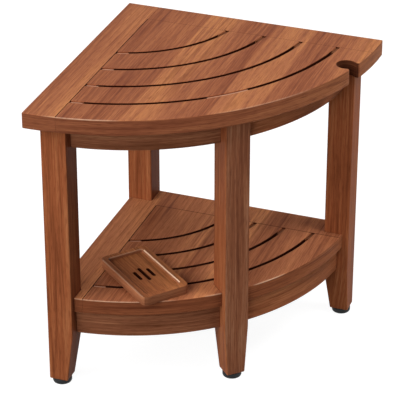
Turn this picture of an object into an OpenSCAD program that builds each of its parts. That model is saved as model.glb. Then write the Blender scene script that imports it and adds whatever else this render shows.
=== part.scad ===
// Corner shower bench: a quarter-round slatted seat on four tapered legs, a slatted shelf under it,
// curved aprons, levelling feet and a loose soap dish. Millimetres, +Z up, floor at Z = 0.
// Every piece is drawn with the wall corner at X = 0, Y = 0: the right wall edge runs along +X and
// the left one along -Y. in_place() then brings the middle of the seat's square over the origin.

/* [Overall] */
// Length of each wall edge of the seat, which is also the radius of its front
side = 400; // [330:1:480]
// Height of the seat's top above the floor
overall_h = 456; // [380:1:550]

/* [Seat] */
// Thickness of the seat's boards and slats
seat_t = 24; // [18:0.5:32]
// Distance from the front edge to the middle of the front slot
seat_front_slat = 51.5; // [40:0.5:60]
// Distance between the middles of two neighbouring slots of the seat
seat_slot_pitch = 55.8; // [40:0.1:62]
// Width of the piece that closes the front slot over the front leg
bridge_w = 63; // [40:1:80]

/* [Boards and slots of seat and shelf] */
// Width of the border board along the left wall edge
left_board_w = 49; // [42:0.5:60]
// Width of the border board along the right wall edge
right_board_w = 47; // [42:0.5:60]
// Number of curved slots
slot_count = 4; // [2:1:4]
// Width of each slot
slot_w = 5.5; // [4:0.1:8]
// Length of the closed end of a slot, next to a border board
slot_end = 16.5; // [10:0.5:20]
// How far the closed ends lie below the surface
slot_end_drop = 2.2; // [1:0.1:4]

/* [Keyhole notch] */
// Radius of the round hole of the notch
notch_r = 14.5; // [11:0.5:17]
// Width of the notch's mouth at the front edge
notch_mouth_w = 24; // [16:0.5:28]
// Distance from the middle of the hole to the front edge
notch_setback = 14; // [10:0.5:20]
// Distance from the middle of the hole to the right wall edge
notch_from_wall = 98; // [80:1:140]
// Rounding of the mouth's two corners
notch_corner_r = 4; // [2:0.5:6]

/* [Shelf] */
// Height of the shelf's top above the floor
shelf_top = 149; // [110:1:200]
// Thickness of the shelf's boards and slats
shelf_t = 23; // [18:0.5:28]
// How far the shelf's tips stop short of the seat's tips
shelf_setback = 32; // [28:0.5:36]
// Distance from the front edge to the middle of the front slot
shelf_front_slat = 43.4; // [42:0.1:50]
// Distance between the middles of two neighbouring slots of the shelf
shelf_slot_pitch = 45.6; // [36:0.1:52]

/* [Legs] */
// Width of the square legs
leg_w = 38.5; // [34:0.1:46.2]
// Width of a leg at its foot
leg_foot_w = 28.6; // [24:0.1:34]
// Distance from the wall edges of the seat to the wall legs
leg_inset = 14.4; // [8:0.1:16]
// Distance from the seat's tips to the left and right legs
leg_tip_gap = 26.2; // [20:0.1:32]
// Distance from the seat's front edge to the face of the front leg
front_leg_setback = 18.6; // [14:0.1:24]

/* [Aprons and rails] */
// Distance from the wall edges of the seat to the rails, the shelf and the aprons' centre
frame_inset = 17; // [16:0.5:20]
// Thickness of the aprons and rails
rail_t = 20; // [16:0.5:24]
// How far the shelf's front edge overhangs the lower aprons
apron_setback = 9; // [4:0.5:12]
// Height of the aprons and rails under the seat
upper_rail_h = 41; // [32:1:60]
// Height of the aprons and rails under the shelf
lower_rail_h = 39; // [30:1:50]

/* [Cleats, dowels and screws] */
// Height of the cleats
cleat_h = 20; // [15:0.5:24]
// How far a cleat reaches under the slats
cleat_reach = 18; // [16:0.5:24]
// Radius of the dowels
dowel_r = 4; // [3:0.5:5]
// Depth of a dowel in each of the two pieces that it joins
dowel_depth = 17; // [12:0.5:17]
// Radius of the screws' shanks
screw_r = 2; // [1.5:0.1:2.2]
// Radius of the screws' heads
screw_head_r = 4; // [3:0.1:4.2]
// Depth of the screws in the boards and slats
screw_bite = 14; // [8:0.5:16]

/* [Feet] */
// Height of a foot's pad
foot_h = 8.8; // [6:0.1:14]
// Radius of a foot's pad
foot_r = 14.3; // [10:0.1:14.3]
// Radius of the threaded stud
stud_r = 3; // [2.5:0.1:4]
// Length of the stud above the pad
stud_len = 24; // [18:1:40]
// Length of the threaded insert in the leg
insert_len = 13; // [8:0.5:16]
// Wall of the threaded insert
insert_wall = 1.8; // [1.2:0.1:2.5]

/* [Soap dish] */
// Length of the dish
dish_l = 134; // [110:1:150]
// Width of the dish
dish_w = 76; // [60:1:90]
// Height of the dish
dish_h = 15; // [12:0.5:20]
// Radius of the dish's corners
dish_corner_r = 9; // [5:0.5:14]
// Width of the dish's rim
dish_rim = 9.5; // [6:0.5:12]
// Depth of the dish's hollow
dish_depth = 5.5; // [5:0.5:8]
// Radius of the hollow's corners
hollow_corner_r = 4; // [2:0.5:6]
// Width of the drain slots
drain_w = 5; // [3:0.5:6]
// Length of the middle drain slot
drain_mid_l = 37.7; // [25:0.1:50]
// Length of the two outer drain slots
drain_side_l = 24.5; // [15:0.1:35]
// Distance between the middles of the drain slots
drain_pitch = 11; // [8:0.5:14]
// Distance from the shelf's front edge to the middle of the dish
dish_setback = 65; // [60:1:120]
// Bearing of the dish from the shelf's corner, from the right wall edge
dish_bearing = 66.8; // [62:0.1:68]
// Turn of the dish's long side from the right wall edge
dish_turn = 39.6; // [30:0.1:50]

/* [Hidden] */
$fn = 144;
// Clearances: round a leg in the shelf, at the sides of a slot's closed end, round dowels and
// screws, and in the inserts
leg_gap = 0.3;
slot_end_gap = 0.15;
hole_gap = 0.1;
thread_gap = 0.05;
// Free length beyond a dowel's end, and between a cleat and what it stops at
end_gap = 1;
// How far a cutting shape runs past the face that it cuts
past = 1;
// Screw heads: height of the countersunk cone, and the hexagon socket in it
screw_head_h = 2.6;
socket_r = 1.3;
socket_depth = 1.6;
// Screws up through the aprons: distance from the apron's front, height of the shank in the
// apron, and angle from the wall edge at the apron's centre
apron_screw_inset = 7;
apron_screw_grip = 20;
apron_screw_angles = [18, 33];
// Screws in a cleat: distances from the seam to the two rows, and count in the board's row
board_screw_inset = 6;
slat_screw_inset = 9;
board_screw_count = 3;
// Depth of a stud's end in its pad, and of a leg's hole past the stud
stud_seat = 5;
stud_hole_spare = 6;

seat_bottom = overall_h - seat_t;
shelf_bottom = shelf_top - shelf_t;
shelf_r = side - shelf_setback - frame_inset;
apron_r = shelf_r - apron_setback;
upper_rail_z = seat_bottom - upper_rail_h;
lower_rail_z = shelf_bottom - lower_rail_h;
// Heights of the two dowels in a rail, as shares of its height
dowel_shares = [0.25, 0.75];
// Faces of the wall legs: the near one by the corner, and the far pair by the tips
near_face = leg_inset + leg_w;
far_face = side - leg_tip_gap - leg_w;
rail_inner = frame_inset + rail_t;
front_face = side - front_leg_setback;
// Middle of an apron's thickness, and where it meets the left leg and the front leg
apron_mid_r = apron_r - rail_t / 2;
apron_end_y = -frame_inset - sqrt(pow(apron_mid_r, 2) - pow(near_face - frame_inset, 2));
apron_end_d = frame_inset * sqrt(2) + sqrt(pow(apron_mid_r, 2) - pow(leg_w / 2, 2));
notch_ring = side - notch_setback;
notch_angle = asin(notch_from_wall / notch_ring);
insert_r = stud_r + thread_gap + insert_wall;
left_foot = [leg_inset + leg_foot_w / 2, -(side - leg_tip_gap - leg_foot_w / 2)];
back_foot = [leg_inset + leg_foot_w / 2, -(leg_inset + leg_foot_w / 2)];
right_foot = [-left_foot.y, -left_foot.x];
front_foot = (front_face - leg_foot_w / 2) * [1, -1] / sqrt(2);
feet = [back_foot, left_foot, right_foot, front_foot];
dish_reach = shelf_r - dish_setback;
dish_at = [frame_inset + dish_reach * cos(dish_bearing), -frame_inset - dish_reach * sin(dish_bearing)];

teak = "#a5643f";
teak_light = "#b87850";
teak_dark = "#8a4d30";
pale_wood = "#c8996f";
steel = "#b9bcc0";
brass = "#c2a04e";
black = "#1d2021";

// ---- Frames of reference ----

module in_place() {
    translate([-side / 2, side / 2, 0]) children();
}

// The frame is the same on both sides of the diagonal through the wall corner
module on_right() {
    mirror([1, 1, 0]) children();
}

module on_both_sides() {
    children();
    on_right() children();
}

// The shelf's own corner lies in from the wall edges
module at_shelf_corner() {
    translate([frame_inset, -frame_inset, 0]) children();
}

// Along the diagonal: +X runs from the wall corner to the front leg
module on_diagonal() {
    rotate([0, 0, -45]) children();
}

// ---- Outlines of the seat and the shelf, seen from above, with their corner at the origin ----

function seat_slots() =
    [for (i = [1:slot_count]) side - seat_front_slat - (slot_count - i) * seat_slot_pitch];
function shelf_slots() =
    [for (i = [1:slot_count]) shelf_r - shelf_front_slat - (slot_count - i) * shelf_slot_pitch];

module quarter_disc(r) {
    intersection() {
        circle(r);
        translate([0, -r]) square(r);
    }
}

module ring(r_in, r_out) {
    difference() {
        circle(r_out);
        circle(r_in);
    }
}

module left_board_outline(r) {
    intersection() {
        quarter_disc(r);
        translate([0, -r]) square([left_board_w, r]);
    }
}

module right_board_outline(r) {
    intersection() {
        quarter_disc(r);
        translate([left_board_w, -right_board_w]) square([r, right_board_w]);
    }
}

// The field inside the two border boards
module slat_field(r) {
    translate([left_board_w, -right_board_w - r]) square(r);
}

// Slat 1 is the solid one in the corner, and the last one has the front edge
module slat_outline(r, slots, number) {
    r_out = number > slot_count ? r : slots[number - 1] - slot_w / 2;
    intersection() {
        slat_field(r);
        if (number == 1) circle(r_out);
        else ring(slots[number - 2] + slot_w / 2, r_out);
    }
}

// What fills a slot, with a little clearance at its sides
module slot_filling(slot_r) {
    half_w = slot_w / 2 - slot_end_gap;
    ring(slot_r - half_w, slot_r + half_w);
}

module slot_ends_outline(r, slot_r) {
    intersection() {
        slot_filling(slot_r);
        slat_field(r);
        union() {
            translate([left_board_w, -r]) square([slot_end, r]);
            translate([0, -right_board_w - slot_end]) square([r, slot_end]);
        }
    }
}

// The piece that closes the seat's front slot over the front leg
module bridge_outline() {
    intersection() {
        slot_filling(seat_slots()[slot_count - 1]);
        rotate(-45) translate([0, -bridge_w / 2]) square([side, bridge_w]);
    }
}

module notch_outline() {
    mouth_x = sqrt(pow(side, 2) - pow(notch_mouth_w / 2, 2)) - notch_ring;
    rotate(-notch_angle) translate([notch_ring, 0]) {
        circle(notch_r);
        translate([0, -notch_mouth_w / 2]) square([notch_setback + past, notch_mouth_w]);
        mouth_corner_cut(mouth_x);
        mirror([0, 1]) mouth_corner_cut(mouth_x);
    }
}

// What a rounded corner leaves off the sharp one
module mouth_corner_cut(mouth_x) {
    corner_x = mouth_x - notch_corner_r;
    difference() {
        translate([corner_x, notch_mouth_w / 2]) square([notch_corner_r + past, notch_corner_r]);
        translate([corner_x, notch_mouth_w / 2 + notch_corner_r]) circle(notch_corner_r);
    }
}

// All four legs, in the shelf's place, with a gap round them
module legs_outline(gap) {
    w = leg_w + 2 * gap;
    translate([leg_inset - gap, -near_face - gap]) square(w);
    translate([leg_inset - gap, -far_face - leg_w - gap]) square(w);
    translate([far_face - gap, -near_face - gap]) square(w);
    rotate(-45) translate([front_face - leg_w - gap, -w / 2]) square(w);
}

// ---- Dowels and screws, each drawn a little larger where it cuts its hole ----

module dowel_along_x(at, gap) {
    depth = dowel_depth + (gap > 0 ? end_gap : 0);
    translate(at) rotate([0, 90, 0]) cylinder(r = dowel_r + gap, h = 2 * depth, center = true);
}

module dowel_along_y(at, gap) {
    rotate([0, 0, 90]) dowel_along_x([at.y, -at.x, at.z], gap);
}

// The dowels of one set of rails: both ends of an apron and of a rail, on both sides
module dowel_set(rail_z, rail_h, gap) {
    rail_mid = frame_inset + rail_t / 2;
    on_both_sides() for (share = dowel_shares) {
        z = rail_z + share * rail_h;
        dowel_along_y([rail_mid, -near_face, z], gap);
        dowel_along_y([rail_mid, -far_face, z], gap);
        dowel_along_x([near_face, apron_end_y, z], gap);
        on_diagonal() dowel_along_y([apron_end_d, -leg_w / 2, z], gap);
    }
}

module upper_dowel_set(gap) {
    dowel_set(upper_rail_z, upper_rail_h, gap);
}

module lower_dowel_set(gap) {
    dowel_set(lower_rail_z, lower_rail_h, gap);
}

// A countersunk screw that points up, with the flat of its head at Z = 0
module screw(length, gap) {
    difference() {
        union() {
            cylinder(r = screw_r + gap, h = length + gap);
            cylinder(r1 = screw_head_r + gap, r2 = screw_r + gap, h = screw_head_h);
        }
        if (gap == 0) translate([0, 0, -past]) cylinder(r = socket_r, h = socket_depth + past, $fn = 6);
    }
}

function on_circle(r, x) = -sqrt(r * r - x * x);

// A left cleat ends short of the left leg, and of the apron where that comes first
function cleat_end(seam) = -min(
    far_face,
    frame_inset - on_circle(apron_r - rail_t, seam + cleat_reach - frame_inset)
) + end_gap;

// Places of a left cleat's screws, one row under slats 1 to slot_count and one under the board,
// where the heads stay clear of the rail
function cleat_screw_places(board_w, inset, slots, pitch, start) = concat(
    [for (i = [0:board_screw_count - 1]) [
        max(inset + board_w - board_screw_inset, rail_inner + screw_head_r),
        -start + (cleat_end(inset + board_w) + start) * (i + 0.5) / board_screw_count
    ]],
    [for (r = slots) let (x = board_w + slat_screw_inset)
        [inset + x, -inset + on_circle(r - pitch / 2, x)]]
);

module screws_at(places, z, gap) {
    for (p = places) translate([p.x, p.y, z]) screw(cleat_h + screw_bite, gap);
}

// The right cleats start where the left ones end
seat_right_start = left_board_w + cleat_reach + end_gap;
shelf_right_start = frame_inset + seat_right_start;

module seat_cleat_screw_set(gap) {
    z = seat_bottom - cleat_h;
    slots = seat_slots();
    screws_at(cleat_screw_places(left_board_w, 0, slots, seat_slot_pitch, near_face), z, gap);
    on_right() screws_at(
        cleat_screw_places(right_board_w, 0, slots, seat_slot_pitch, seat_right_start), z, gap);
}

module shelf_cleat_screw_set(gap) {
    z = shelf_bottom - cleat_h;
    slots = shelf_slots();
    screws_at(
        cleat_screw_places(left_board_w, frame_inset, slots, shelf_slot_pitch, near_face), z, gap);
    on_right() screws_at(
        cleat_screw_places(right_board_w, frame_inset, slots, shelf_slot_pitch, shelf_right_start),
        z, gap);
}

// Screws that go up through the aprons into the front slat. Their heads lie deep in a counterbore
module apron_screw_set(panel_z, rail_h, gap) {
    r = apron_r - apron_screw_inset;
    on_both_sides() at_shelf_corner() for (a = apron_screw_angles) rotate([0, 0, a - 90]) {
        translate([r, 0, panel_z - apron_screw_grip]) {
            screw(apron_screw_grip + screw_bite, gap);
            if (gap > 0) mirror([0, 0, 1]) cylinder(r = screw_head_r + gap, h = rail_h);
        }
    }
}

// ---- Seat ----

module seat_piece() {
    difference() {
        translate([0, 0, seat_bottom]) linear_extrude(seat_t) children();
        seat_cleat_screw_set(hole_gap);
    }
}

module seat_left_board() {
    color(teak_light) in_place() seat_piece() left_board_outline(side);
}

module seat_right_board() {
    color(teak) in_place() seat_piece() right_board_outline(side);
}

module seat_slat(number) {
    color(number % 2 == 1 ? teak : teak_light) in_place()
        seat_piece() slat_outline(side, seat_slots(), number);
}

// The front slat, with the keyhole notch and the holes of the upper aprons' screws
module seat_front_slat_piece() {
    color(teak) in_place() difference() {
        seat_piece() difference() {
            slat_outline(side, seat_slots(), slot_count + 1);
            notch_outline();
        }
        apron_screw_set(seat_bottom, upper_rail_h, hole_gap);
    }
}

module seat_slot_ends() {
    color(pale_wood) in_place() translate([0, 0, seat_bottom]) linear_extrude(seat_t - slot_end_drop) {
        for (r = seat_slots()) slot_ends_outline(side, r);
        bridge_outline();
    }
}

// ---- Shelf ----

module shelf_piece() {
    difference() {
        translate([0, 0, shelf_bottom]) linear_extrude(shelf_t) difference() {
            translate([frame_inset, -frame_inset]) children();
            legs_outline(leg_gap);
        }
        shelf_cleat_screw_set(hole_gap);
    }
}

module shelf_left_board() {
    color(teak_light) in_place() shelf_piece() left_board_outline(shelf_r);
}

module shelf_right_board() {
    color(teak) in_place() shelf_piece() right_board_outline(shelf_r);
}

module shelf_slat(number) {
    color(number % 2 == 1 ? teak : teak_light) in_place()
        shelf_piece() slat_outline(shelf_r, shelf_slots(), number);
}

module shelf_front_slat_piece() {
    color(teak) in_place() difference() {
        shelf_piece() slat_outline(shelf_r, shelf_slots(), slot_count + 1);
        apron_screw_set(shelf_bottom, lower_rail_h, hole_gap);
    }
}

module shelf_slot_ends() {
    color(pale_wood) in_place() at_shelf_corner() translate([0, 0, shelf_bottom])
        linear_extrude(shelf_t - slot_end_drop)
            for (r = shelf_slots()) slot_ends_outline(shelf_r, r);
}

// ---- Aprons, rails and cleats ----

// The left apron runs from the left leg to the front leg
module apron_blank(rail_z, rail_h) {
    translate([0, 0, rail_z]) linear_extrude(rail_h) intersection() {
        translate([frame_inset, -frame_inset]) ring(apron_r - rail_t, apron_r);
        translate([near_face, -side]) square(side);
        rotate(-45) translate([0, -side - leg_w / 2]) square([2 * side, side]);
    }
}

module upper_apron() {
    difference() {
        apron_blank(upper_rail_z, upper_rail_h);
        upper_dowel_set(hole_gap);
        apron_screw_set(seat_bottom, upper_rail_h, hole_gap);
    }
}

module lower_apron() {
    difference() {
        apron_blank(lower_rail_z, lower_rail_h);
        lower_dowel_set(hole_gap);
        apron_screw_set(shelf_bottom, lower_rail_h, hole_gap);
    }
}

// The left rail runs from the back leg to the left leg
module rail_blank(rail_z, rail_h) {
    translate([frame_inset, -far_face, rail_z]) cube([rail_t, far_face - near_face, rail_h]);
}

module upper_rail() {
    difference() {
        rail_blank(upper_rail_z, upper_rail_h);
        upper_dowel_set(hole_gap);
    }
}

module lower_rail() {
    difference() {
        rail_blank(lower_rail_z, lower_rail_h);
        lower_dowel_set(hole_gap);
    }
}

// A left cleat lies on its rail's inner face and under the seam beside the board
module cleat_blank(seam, start, z) {
    end = cleat_end(seam);
    translate([rail_inner, end, z]) cube([seam + cleat_reach - rail_inner, -start - end, cleat_h]);
}

module seat_cleat(on_the_right) {
    z = seat_bottom - cleat_h;
    difference() {
        if (on_the_right) on_right() cleat_blank(right_board_w, seat_right_start, z);
        else cleat_blank(left_board_w, near_face + end_gap, z);
        seat_cleat_screw_set(hole_gap);
    }
}

module shelf_cleat(on_the_right) {
    z = shelf_bottom - cleat_h;
    difference() {
        if (on_the_right) on_right() cleat_blank(frame_inset + right_board_w, shelf_right_start, z);
        else cleat_blank(frame_inset + left_board_w, near_face + end_gap, z);
        shelf_cleat_screw_set(hole_gap);
    }
}

module upper_apron_left() { color(teak_dark) in_place() upper_apron(); }
module upper_apron_right() { color(teak_dark) in_place() on_right() upper_apron(); }
module upper_rail_left() { color(teak_dark) in_place() upper_rail(); }
module upper_rail_right() { color(teak_dark) in_place() on_right() upper_rail(); }
module lower_apron_left() { color(teak_dark) in_place() lower_apron(); }
module lower_apron_right() { color(teak_dark) in_place() on_right() lower_apron(); }
module lower_rail_left() { color(teak_dark) in_place() lower_rail(); }
module lower_rail_right() { color(teak_dark) in_place() on_right() lower_rail(); }
module seat_left_cleat() { color(pale_wood) in_place() seat_cleat(false); }
module seat_right_cleat() { color(pale_wood) in_place() seat_cleat(true); }
module shelf_left_cleat() { color(pale_wood) in_place() shelf_cleat(false); }
module shelf_right_cleat() { color(pale_wood) in_place() shelf_cleat(true); }

// ---- Legs ----

// Height against width of one tapered side, straight along the other edge
module leg_side() {
    polygon([
        [0, foot_h], [leg_foot_w, foot_h], [leg_w, lower_rail_z], [leg_w, seat_bottom], [0, seat_bottom]
    ]);
}

// The front leg seen from the front, tapered on both sides
module leg_front() {
    polygon([
        [-leg_foot_w / 2, foot_h], [leg_foot_w / 2, foot_h], [leg_w / 2, lower_rail_z],
        [leg_w / 2, seat_bottom], [-leg_w / 2, seat_bottom], [-leg_w / 2, lower_rail_z]
    ]);
}

// A wall leg has its outer corner at the origin and tapers on the faces towards +X and +Y
module wall_leg_post() {
    intersection() {
        translate([0, leg_w, 0]) rotate([90, 0, 0]) linear_extrude(leg_w) leg_side();
        rotate([90, 0, 90]) linear_extrude(leg_w) leg_side();
    }
}

module left_leg_post() {
    translate([leg_inset, -far_face - leg_w, 0]) wall_leg_post();
}

module back_leg_post() {
    translate([leg_inset, -leg_inset, 0]) mirror([0, 1, 0]) wall_leg_post();
}

// The front leg's outer face is upright, and its back and sides taper
module front_leg_post() {
    on_diagonal() translate([front_face, 0, 0]) intersection() {
        translate([0, leg_w / 2, 0]) rotate([90, 0, 0]) linear_extrude(leg_w) mirror([1, 0]) leg_side();
        translate([-leg_w, 0, 0]) rotate([90, 0, 90]) linear_extrude(leg_w) leg_front();
    }
}

module leg_with_holes() {
    difference() {
        children();
        upper_dowel_set(hole_gap);
        lower_dowel_set(hole_gap);
        for (at = feet) translate([at.x, at.y, foot_h]) foot_holes();
    }
}

// The insert's hole, and the narrower one above it for the stud's end
module foot_holes() {
    translate([0, 0, -past]) cylinder(r = insert_r + thread_gap, h = insert_len + past);
    cylinder(r = stud_r + hole_gap, h = stud_len + stud_hole_spare);
}

module back_leg() { color(teak) in_place() leg_with_holes() back_leg_post(); }
module left_leg() { color(teak) in_place() leg_with_holes() left_leg_post(); }
module right_leg() { color(teak) in_place() leg_with_holes() on_right() left_leg_post(); }
module front_leg() { color(teak) in_place() leg_with_holes() front_leg_post(); }

// ---- Feet ----

module foot_inserts() {
    color(brass) in_place() for (at = feet) translate([at.x, at.y, foot_h])
        difference() {
            cylinder(r = insert_r, h = insert_len);
            translate([0, 0, -past]) cylinder(r = stud_r + thread_gap, h = insert_len + 2 * past);
        }
}

module foot_pad(at) {
    color(black) in_place() translate([at.x, at.y, 0]) difference() {
        cylinder(r = foot_r, h = foot_h);
        translate([0, 0, foot_h - stud_seat]) cylinder(r = stud_r, h = stud_seat + past);
    }
}

module foot_stud(at) {
    color(steel) in_place() translate([at.x, at.y, foot_h - stud_seat])
        cylinder(r = stud_r, h = stud_seat + stud_len);
}

// ---- Soap dish ----

module rounded_box_outline(length, width, r) {
    square([length - 2 * r, width], center = true);
    square([length, width - 2 * r], center = true);
    for (x = [-1, 1], y = [-1, 1]) translate([x * (length / 2 - r), y * (width / 2 - r)]) circle(r);
}

module drain_slot(length) {
    square([length - drain_w, drain_w], center = true);
    for (x = [-1, 1]) translate([x * (length - drain_w) / 2, 0]) circle(drain_w / 2);
}

module soap_dish() {
    color(teak_dark) in_place() translate([dish_at.x, dish_at.y, shelf_top]) rotate([0, 0, -dish_turn])
        difference() {
            linear_extrude(dish_h) rounded_box_outline(dish_l, dish_w, dish_corner_r);
            translate([0, 0, dish_h - dish_depth]) linear_extrude(dish_depth + past)
                rounded_box_outline(dish_l - 2 * dish_rim, dish_w - 2 * dish_rim, hollow_corner_r);
            translate([0, 0, -past]) linear_extrude(dish_h + past) {
                drain_slot(drain_mid_l);
                for (y = [-1, 1]) translate([0, y * drain_pitch]) drain_slot(drain_side_l);
            }
        }
}

// ---- One line for each sub-part ----

seat_left_board();
seat_right_board();
seat_slat(1);  // seat_slat_1
seat_slat(2);  // seat_slat_2
seat_slat(3);  // seat_slat_3
seat_slat(4);  // seat_slat_4
seat_front_slat_piece();  // seat_slat_5
seat_slot_ends();
seat_left_cleat();
seat_right_cleat();
color(steel) in_place() seat_cleat_screw_set(0);  // seat_cleat_screws
upper_apron_left();
upper_apron_right();
upper_rail_left();
upper_rail_right();
color(steel) in_place() apron_screw_set(seat_bottom, upper_rail_h, 0);  // upper_apron_screws
color(pale_wood) in_place() upper_dowel_set(0);  // upper_dowels
back_leg();
left_leg();
right_leg();
front_leg();
foot_inserts();
foot_pad(back_foot);  // back_foot_pad
foot_stud(back_foot);  // back_foot_stud
foot_pad(left_foot);  // left_foot_pad
foot_stud(left_foot);  // left_foot_stud
foot_pad(right_foot);  // right_foot_pad
foot_stud(right_foot);  // right_foot_stud
foot_pad(front_foot);  // front_foot_pad
foot_stud(front_foot);  // front_foot_stud
shelf_left_board();
shelf_right_board();
shelf_slat(1);  // shelf_slat_1
shelf_slat(2);  // shelf_slat_2
shelf_slat(3);  // shelf_slat_3
shelf_slat(4);  // shelf_slat_4
shelf_front_slat_piece();  // shelf_slat_5
shelf_slot_ends();
shelf_left_cleat();
shelf_right_cleat();
color(steel) in_place() shelf_cleat_screw_set(0);  // shelf_cleat_screws
lower_apron_left();
lower_apron_right();
lower_rail_left();
lower_rail_right();
color(steel) in_place() apron_screw_set(shelf_bottom, lower_rail_h, 0);  // lower_apron_screws
color(pale_wood) in_place() lower_dowel_set(0);  // lower_dowels
soap_dish();
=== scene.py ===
import math

import bmesh
import bpy
from mathutils import Matrix, Vector


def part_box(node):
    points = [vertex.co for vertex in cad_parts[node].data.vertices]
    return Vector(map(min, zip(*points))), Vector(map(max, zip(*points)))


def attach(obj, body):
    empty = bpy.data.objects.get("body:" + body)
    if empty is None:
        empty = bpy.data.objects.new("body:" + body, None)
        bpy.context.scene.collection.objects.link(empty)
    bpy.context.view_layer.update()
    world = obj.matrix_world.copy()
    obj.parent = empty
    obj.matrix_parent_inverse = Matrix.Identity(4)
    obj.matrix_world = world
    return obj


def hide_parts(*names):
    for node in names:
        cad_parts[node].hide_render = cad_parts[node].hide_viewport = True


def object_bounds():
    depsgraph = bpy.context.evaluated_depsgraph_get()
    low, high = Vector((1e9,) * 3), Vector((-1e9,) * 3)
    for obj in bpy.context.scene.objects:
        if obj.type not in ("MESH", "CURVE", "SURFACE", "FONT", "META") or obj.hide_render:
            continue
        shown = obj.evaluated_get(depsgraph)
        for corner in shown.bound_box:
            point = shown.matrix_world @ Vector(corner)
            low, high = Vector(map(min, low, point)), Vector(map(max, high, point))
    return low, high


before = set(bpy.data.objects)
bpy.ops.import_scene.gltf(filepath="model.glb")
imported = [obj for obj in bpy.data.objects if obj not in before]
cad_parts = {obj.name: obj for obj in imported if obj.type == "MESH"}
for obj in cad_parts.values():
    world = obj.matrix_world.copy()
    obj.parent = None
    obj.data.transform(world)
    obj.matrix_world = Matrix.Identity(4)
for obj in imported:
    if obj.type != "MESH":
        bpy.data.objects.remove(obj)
cad_low, cad_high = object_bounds()


# ---- Left border board of the seat ----
# A 24 mm teak board along the left wall edge. It runs the full depth of the seat, past the ends of
# the other pieces, and its end is sawn to the quarter round of the front. The edges are eased.

# Panels are made with the wall corner at the origin, +X along the right wall and -Y along the left
at_wall_corner = Matrix.Translation((cad_low.x, cad_high.y, 0))
to_right = Vector((1, 0, 0))
to_back = Vector((0, 1, 0))
seat_r = cad_high.x - cad_low.x
seat_top = cad_high.z
seat_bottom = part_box("seat_left_board")[0].z
left_board_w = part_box("seat_left_board")[1].x - cad_low.x
right_board_w = cad_high.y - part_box("seat_right_board")[0].y
# The outer radii of the five slats, which reach furthest forward beside the left board
seat_arcs = [math.hypot(left_board_w, cad_high.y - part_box(f"seat_slat_{n}")[0].y) for n in range(1, 5)]
seat_arcs.append(seat_r)
# Each slot is closed for this length at both ends, and the outermost one over the front leg as well
slot_end_l = 0.0165
bridge_w = 0.063
# A point that is this near to a line or an arc belongs to it, and points a speck apart are one
close = 0.001
hair = 0.0001
speck = 0.00001
arc_steps = 288
largest_easing = 0.004


def saw(bm, point, offcut, drop=True):
    """Saws a shape at a point. The side that offcut points to drops off, or else the cut is only a line."""
    everything = bm.verts[:] + bm.edges[:] + bm.faces[:]
    bmesh.ops.bisect_plane(bm, geom=everything, plane_co=point, plane_no=offcut, clear_outer=drop)


def round_panel(inner_r, outer_r, bottom, top, cuts):
    """A flat board from a disc or a ring about the corner. A cut is a point and the way to its offcut."""
    bm = bmesh.new()
    if inner_r:
        bmesh.ops.create_circle(bm, segments=arc_steps, radius=inner_r)
        bmesh.ops.create_circle(bm, segments=arc_steps, radius=outer_r)
        bmesh.ops.bridge_loops(bm, edges=bm.edges[:])
    else:
        bmesh.ops.create_circle(bm, cap_ends=True, segments=arc_steps, radius=outer_r)
    for point, offcut in cuts:
        saw(bm, point, offcut)
    # The steps of a ring become one flat face, and points on straight sides go
    almost_straight = 0.002
    bmesh.ops.dissolve_limit(bm, angle_limit=almost_straight, verts=bm.verts[:], edges=bm.edges[:])
    bmesh.ops.translate(bm, verts=bm.verts[:], vec=(0, 0, bottom))
    raised = bmesh.ops.extrude_face_region(bm, geom=bm.faces[:])["geom"]
    raised = [item for item in raised if isinstance(item, bmesh.types.BMVert)]
    bmesh.ops.translate(bm, verts=raised, vec=(0, 0, top - bottom))
    bmesh.ops.recalc_face_normals(bm, faces=bm.faces[:])
    return bm


def make_object(name, *shapes):
    """One object from one or more shapes."""
    mesh = bpy.data.meshes.new(name)
    whole = bmesh.new()
    for bm in shapes:
        bm.to_mesh(mesh)
        bm.free()
        whole.from_mesh(mesh)
    whole.to_mesh(mesh)
    whole.free()
    piece = bpy.data.objects.new(name, mesh)
    bpy.context.scene.collection.objects.link(piece)
    return piece


def apply_modifiers(piece):
    """Turns the shape that a piece's modifiers give it into its mesh."""
    graph = bpy.context.evaluated_depsgraph_get()
    shaped = piece.evaluated_get(graph)
    mesh = bpy.data.meshes.new_from_object(shaped, preserve_all_data_layers=True, depsgraph=graph)
    piece.modifiers.clear()
    piece.data = mesh


def ease_edges(piece, ease, marker):
    """Rounds each edge by what ease gives for its middle. The new faces get the marker's material slot."""
    smooth = math.radians(25)
    bm = bmesh.new()
    bm.from_mesh(piece.data)
    # A saw line through a corner leaves two points there, which the bevel would fold over
    bmesh.ops.remove_doubles(bm, verts=bm.verts[:], dist=2 * speck)
    weights = bm.edges.layers.float.new("bevel_weight_edge")
    for face in bm.faces:
        face.material_index = 0
    for edge in bm.edges:
        if len(edge.link_faces) == 2 and edge.calc_face_angle() > smooth:
            edge[weights] = ease((edge.verts[0].co + edge.verts[1].co) / 2) / largest_easing
    bm.to_mesh(piece.data)
    bm.free()
    bevel = piece.modifiers.new("eased edges", "BEVEL")
    bevel.limit_method = "WEIGHT"
    bevel.width = largest_easing
    bevel.segments = 3
    bevel.use_clamp_overlap = False
    bevel.material = marker
    apply_modifiers(piece)


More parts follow.
